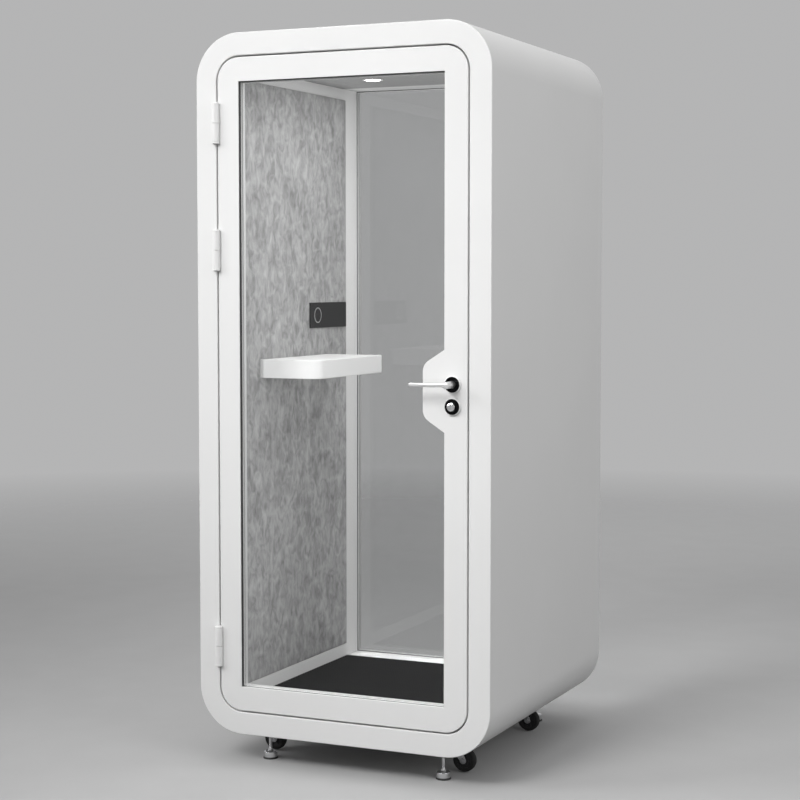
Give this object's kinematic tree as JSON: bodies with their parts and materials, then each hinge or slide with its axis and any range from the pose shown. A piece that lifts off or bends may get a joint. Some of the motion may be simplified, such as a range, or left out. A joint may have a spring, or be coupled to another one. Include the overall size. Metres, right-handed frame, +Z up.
{
  "type": "acoustic office pod",
  "caption": "Single-person acoustic phone booth with a rounded white shell, glazed lever door, glass rear wall, felt lining, wall shelf, levelling feet and castors.",
  "frame": {"origin": "on the ground under the middle of the overall box, which includes the outer door lever", "axes": "+Z up, -Y out of the door, +X towards the door's lock side"},
  "size_m": [1, 1.102, 2.31],
  "materials": {
    "white_shell": "satin white lacquer",
    "white_skin": "satin white powder coat",
    "white_board": "white laminate",
    "felt": "marbled grey polyester felt",
    "ceiling_felt": "plain grey polyester felt",
    "core": "pressed acoustic fibre",
    "plywood": "birch plywood",
    "carpet": "black loop-pile carpet",
    "rubber": "matt black seal rubber",
    "black_plastic": "matt black",
    "chrome": "polished",
    "black_chrome": "polished black",
    "steel": "zinc plated",
    "glass": "clear toughened glass",
    "lens": "opal diffuser",
    "tyre": "black castor tread"
  },
  "bodies": {
    "pod": {"front_frame": "white_shell", "rear_frame": "white_shell", "left_skin": "white_skin", "right_skin": "white_skin", "roof_skin": "white_skin", "base_skin": "white_skin", "left_core": "core", "right_core": "core", "roof_core": "core", "base_platform": "plywood", "left_lining": "white_board", "right_lining": "white_board", "floor_deck": "white_board", "ceiling_board": "ceiling_felt", "left_felt": "felt", "right_felt": "felt", "carpet": "carpet", "rear_glass": "glass", "rear_gasket": "rubber", "door_seal": "rubber", "strike_plate": "steel", "hinge_upper_frame_leaf": "white_skin", "hinge_middle_frame_leaf": "white_skin", "hinge_lower_frame_leaf": "white_skin", "shelf": "white_board", "socket_plate": "black_plastic", "downlight_can": "white_shell", "downlight_lens": "lens", "fan_housing": "black_plastic"},
    "door": {"door_leaf": "white_shell", "door_glass": "glass", "door_gasket": "rubber", "lock_case": "steel", "hinge_upper_door_leaf": "white_skin", "hinge_middle_door_leaf": "white_skin", "hinge_lower_door_leaf": "white_skin", "outer_lever_rose": "black_chrome", "outer_lock_rose": "black_chrome", "inner_lock_plate": "chrome"},
    "lever": {"outer_lever": "chrome", "inner_lever": "chrome"},
    "latch": {"latch_bolt": "steel"},
    "lock": {"lock_knob": "chrome", "thumb_turn": "chrome"},
    "bolt": {"dead_bolt": "steel"},
    "button": {"push_button": "black_plastic"},
    "fan": {"fan_rotor": "black_plastic"},
    "foot_front_left": {"levelling_foot_front_left": "chrome"},
    "foot_front_right": {"levelling_foot_front_right": "chrome"},
    "foot_rear_left": {"levelling_foot_rear_left": "chrome"},
    "foot_rear_right": {"levelling_foot_rear_right": "chrome"},
    "castor_front_left": {"castor_fork_front_left": "steel"},
    "castor_front_right": {"castor_fork_front_right": "steel"},
    "castor_rear_left": {"castor_fork_rear_left": "steel"},
    "castor_rear_right": {"castor_fork_rear_right": "steel"},
    "wheel_front_left": {"castor_wheel_front_left": "tyre"},
    "wheel_front_right": {"castor_wheel_front_right": "tyre"},
    "wheel_rear_left": {"castor_wheel_rear_left": "tyre"},
    "wheel_rear_right": {"castor_wheel_rear_right": "tyre"}
  },
  "joints": [
    {"name": "door_swing", "type": "hinge", "parent": "pod", "child": "door", "pos_m": [-0.4265, -0.497, 1.2035], "axis": [0, 0, -1], "range_deg": [0, 120]},
    {"name": "lever_turn", "type": "hinge", "parent": "door", "child": "lever", "pos_m": [0.3775, -0.489, 1.23], "axis": [0, -1, 0], "range_deg": [0, 45], "stiffness_Nm_per_rad": 1.5},
    {"name": "latch_slide", "type": "slide", "parent": "door", "child": "latch", "axis": [-1, 0, 0], "range_m": [0, 0.01]},
    {"name": "lock_turn", "type": "hinge", "parent": "door", "child": "lock", "pos_m": [0.3775, -0.489, 1.1635], "axis": [0, -1, 0], "range_deg": [0, 90]},
    {"name": "bolt_slide", "type": "slide", "parent": "door", "child": "bolt", "axis": [1, 0, 0], "range_m": [0, 0.015]},
    {"name": "button_press", "type": "slide", "parent": "pod", "child": "button", "axis": [-1, 0, 0], "range_m": [0, 0.002], "stiffness_N_per_m": 500},
    {"name": "fan_spin", "type": "hinge", "parent": "pod", "child": "fan", "pos_m": [0.197, -0.112, 2.27], "axis": [0, 0, 1], "continuous": true},
    {"name": "foot_front_left_screw", "type": "slide", "parent": "pod", "child": "foot_front_left", "axis": [0, 0, -1], "range_m": [-0.03, 0.01]},
    {"name": "foot_front_right_screw", "type": "slide", "parent": "pod", "child": "foot_front_right", "axis": [0, 0, -1], "range_m": [-0.03, 0.01]},
    {"name": "foot_rear_left_screw", "type": "slide", "parent": "pod", "child": "foot_rear_left", "axis": [0, 0, -1], "range_m": [-0.03, 0.01]},
    {"name": "foot_rear_right_screw", "type": "slide", "parent": "pod", "child": "foot_rear_right", "axis": [0, 0, -1], "range_m": [-0.03, 0.01]},
    {"name": "castor_front_left_swivel", "type": "hinge", "parent": "pod", "child": "castor_front_left", "pos_m": [-0.305, -0.285, 0.09], "axis": [0, 0, 1], "continuous": true},
    {"name": "castor_front_right_swivel", "type": "hinge", "parent": "pod", "child": "castor_front_right", "pos_m": [0.305, -0.285, 0.09], "axis": [0, 0, 1], "continuous": true},
    {"name": "castor_rear_left_swivel", "type": "hinge", "parent": "pod", "child": "castor_rear_left", "pos_m": [-0.305, 0.291, 0.09], "axis": [0, 0, 1], "continuous": true},
    {"name": "castor_rear_right_swivel", "type": "hinge", "parent": "pod", "child": "castor_rear_right", "pos_m": [0.305, 0.291, 0.09], "axis": [0, 0, 1], "continuous": true},
    {"name": "wheel_front_left_spin", "type": "hinge", "parent": "castor_front_left", "child": "wheel_front_left", "pos_m": [-0.335, -0.285, 0.0405], "axis": [0, 1, 0], "continuous": true},
    {"name": "wheel_front_right_spin", "type": "hinge", "parent": "castor_front_right", "child": "wheel_front_right", "pos_m": [0.335, -0.285, 0.0405], "axis": [0, 1, 0], "continuous": true},
    {"name": "wheel_rear_left_spin", "type": "hinge", "parent": "castor_rear_left", "child": "wheel_rear_left", "pos_m": [-0.335, 0.291, 0.0405], "axis": [0, 1, 0], "continuous": true},
    {"name": "wheel_rear_right_spin", "type": "hinge", "parent": "castor_rear_right", "child": "wheel_rear_right", "pos_m": [0.335, 0.291, 0.0405], "axis": [0, 1, 0], "continuous": true}
  ],
  "couplings": [
    {"joint": "latch_slide", "follows": "lever_turn", "m_per_rad": 0.01273},
    {"joint": "bolt_slide", "follows": "lock_turn", "m_per_rad": 0.009549}
  ]
}
